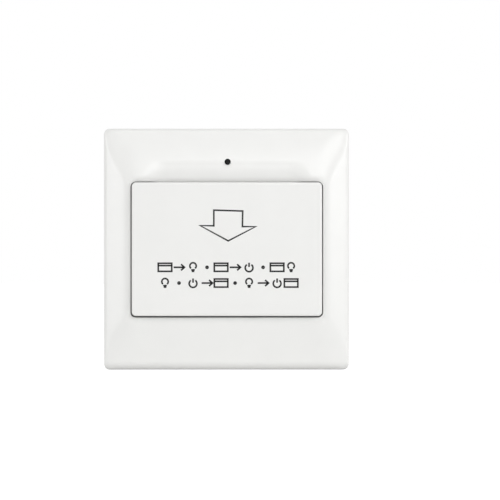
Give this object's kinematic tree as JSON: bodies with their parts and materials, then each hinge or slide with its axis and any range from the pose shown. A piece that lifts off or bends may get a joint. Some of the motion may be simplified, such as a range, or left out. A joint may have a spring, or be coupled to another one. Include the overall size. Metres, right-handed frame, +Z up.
{
  "type": "hotel key card switch",
  "caption": "Wall-mounted holder that keeps a room's power on while a key card stands in its pocket, with a raised front panel, indicator, card lever and rear terminals.",
  "frame": {"origin": "midway between the two wall screws, on the wall's face", "axes": "+X to the right, +Y into the wall, +Z up; the panel faces -Y"},
  "size_m": [0.086, 0.0475, 0.0844],
  "materials": {
    "white_face": "satin white polycarbonate",
    "white_inner": "moulded white ABS",
    "white_base": "moulded white nylon",
    "zinc_steel": "zinc plated",
    "bright_steel": "ground steel",
    "smoked_pipe": "smoked polycarbonate",
    "nylon": "natural acetal",
    "switch_button": "red acetal",
    "switch_black": "black phenolic",
    "board_green": "green solder mask",
    "copper": "bare copper track",
    "chip_black": "black epoxy",
    "lamp_white": "clear epoxy on a white reflector",
    "relay_blue": "blue case",
    "capacitor_red": "epoxy filled box",
    "can_black": "sleeved aluminium can",
    "varistor_blue": "epoxy dipped disc",
    "fuse_brown": "moulded box",
    "brass": "stamped brass",
    "terminal_grey": "grey nylon"
  },
  "bodies": {
    "base": {"base_housing": "white_base", "inner_cover": "white_base", "inner_cover_screws": "zinc_steel", "mounting_screws": "zinc_steel", "reader_board": "board_green", "reader_board_screws": "zinc_steel", "antenna_track": "copper", "reader_chip": "chip_black", "indicator_led": "lamp_white", "main_board": "board_green", "board_screws": "zinc_steel", "relay": "relay_blue", "film_capacitor": "capacitor_red", "filter_capacitors": "can_black", "varistor": "varistor_blue", "fuse": "fuse_brown", "bridge_rectifier": "chip_black", "microcontroller": "chip_black", "link_header": "chip_black", "link_pins": "brass", "terminal_block": "terminal_grey", "terminal_contacts": "brass", "card_switch": "switch_black"},
    "front_cover": {"bezel": "white_face", "card_panel": "white_face", "pocket_tray": "white_inner", "tray_screws": "zinc_steel", "light_pipe": "smoked_pipe", "lever_pin": "bright_steel"},
    "card_lever": {"card_lever": "nylon"},
    "switch_plunger": {"switch_plunger": "switch_button"},
    "terminal_screw_1": {"terminal_screw_1": "zinc_steel"},
    "terminal_cage_1": {"terminal_cage_1": "brass"},
    "terminal_screw_2": {"terminal_screw_2": "zinc_steel"},
    "terminal_cage_2": {"terminal_cage_2": "brass"},
    "terminal_screw_3": {"terminal_screw_3": "zinc_steel"},
    "terminal_cage_3": {"terminal_cage_3": "brass"},
    "terminal_screw_4": {"terminal_screw_4": "zinc_steel"},
    "terminal_cage_4": {"terminal_cage_4": "brass"}
  },
  "joints": [
    {"name": "front_cover_pull", "type": "slide", "parent": "base", "child": "front_cover", "axis": [0, -1, 0], "range_m": [0, 0.025]},
    {"name": "card_lever_turn", "type": "hinge", "parent": "front_cover", "child": "card_lever", "pos_m": [0, -0.0102, -0.0069], "axis": [1, 0, 0], "range_deg": [0, 9.5], "stiffness_Nm_per_rad": 0.02, "springref_deg": -8.59},
    {"name": "plunger_press", "type": "slide", "parent": "base", "child": "switch_plunger", "axis": [0, 1, 0], "range_m": [0, 0.001]},
    {"name": "terminal_screw_1_turn", "type": "hinge", "parent": "base", "child": "terminal_screw_1", "pos_m": [-0.01425, 0.0305, -0.02285], "axis": [0, -1, 0], "range_deg": [0, 1440]},
    {"name": "terminal_cage_1_slide", "type": "slide", "parent": "base", "child": "terminal_cage_1", "axis": [0, 1, 0], "range_m": [0, 0.002]},
    {"name": "terminal_screw_2_turn", "type": "hinge", "parent": "base", "child": "terminal_screw_2", "pos_m": [-0.00475, 0.0305, -0.02285], "axis": [0, -1, 0], "range_deg": [0, 1440]},
    {"name": "terminal_cage_2_slide", "type": "slide", "parent": "base", "child": "terminal_cage_2", "axis": [0, 1, 0], "range_m": [0, 0.002]},
    {"name": "terminal_screw_3_turn", "type": "hinge", "parent": "base", "child": "terminal_screw_3", "pos_m": [0.00475, 0.0305, -0.02285], "axis": [0, -1, 0], "range_deg": [0, 1440]},
    {"name": "terminal_cage_3_slide", "type": "slide", "parent": "base", "child": "terminal_cage_3", "axis": [0, 1, 0], "range_m": [0, 0.002]},
    {"name": "terminal_screw_4_turn", "type": "hinge", "parent": "base", "child": "terminal_screw_4", "pos_m": [0.01425, 0.0305, -0.02285], "axis": [0, -1, 0], "range_deg": [0, 1440]},
    {"name": "terminal_cage_4_slide", "type": "slide", "parent": "base", "child": "terminal_cage_4", "axis": [0, 1, 0], "range_m": [0, 0.002]}
  ],
  "couplings": [
    {"joint": "card_lever_turn", "follows": "plunger_press", "rad_per_m": 165.8},
    {"joint": "terminal_screw_1_turn", "follows": "terminal_cage_1_slide", "rad_per_m": 12566},
    {"joint": "terminal_screw_2_turn", "follows": "terminal_cage_2_slide", "rad_per_m": 12566},
    {"joint": "terminal_screw_3_turn", "follows": "terminal_cage_3_slide", "rad_per_m": 12566},
    {"joint": "terminal_screw_4_turn", "follows": "terminal_cage_4_slide", "rad_per_m": 12566}
  ]
}
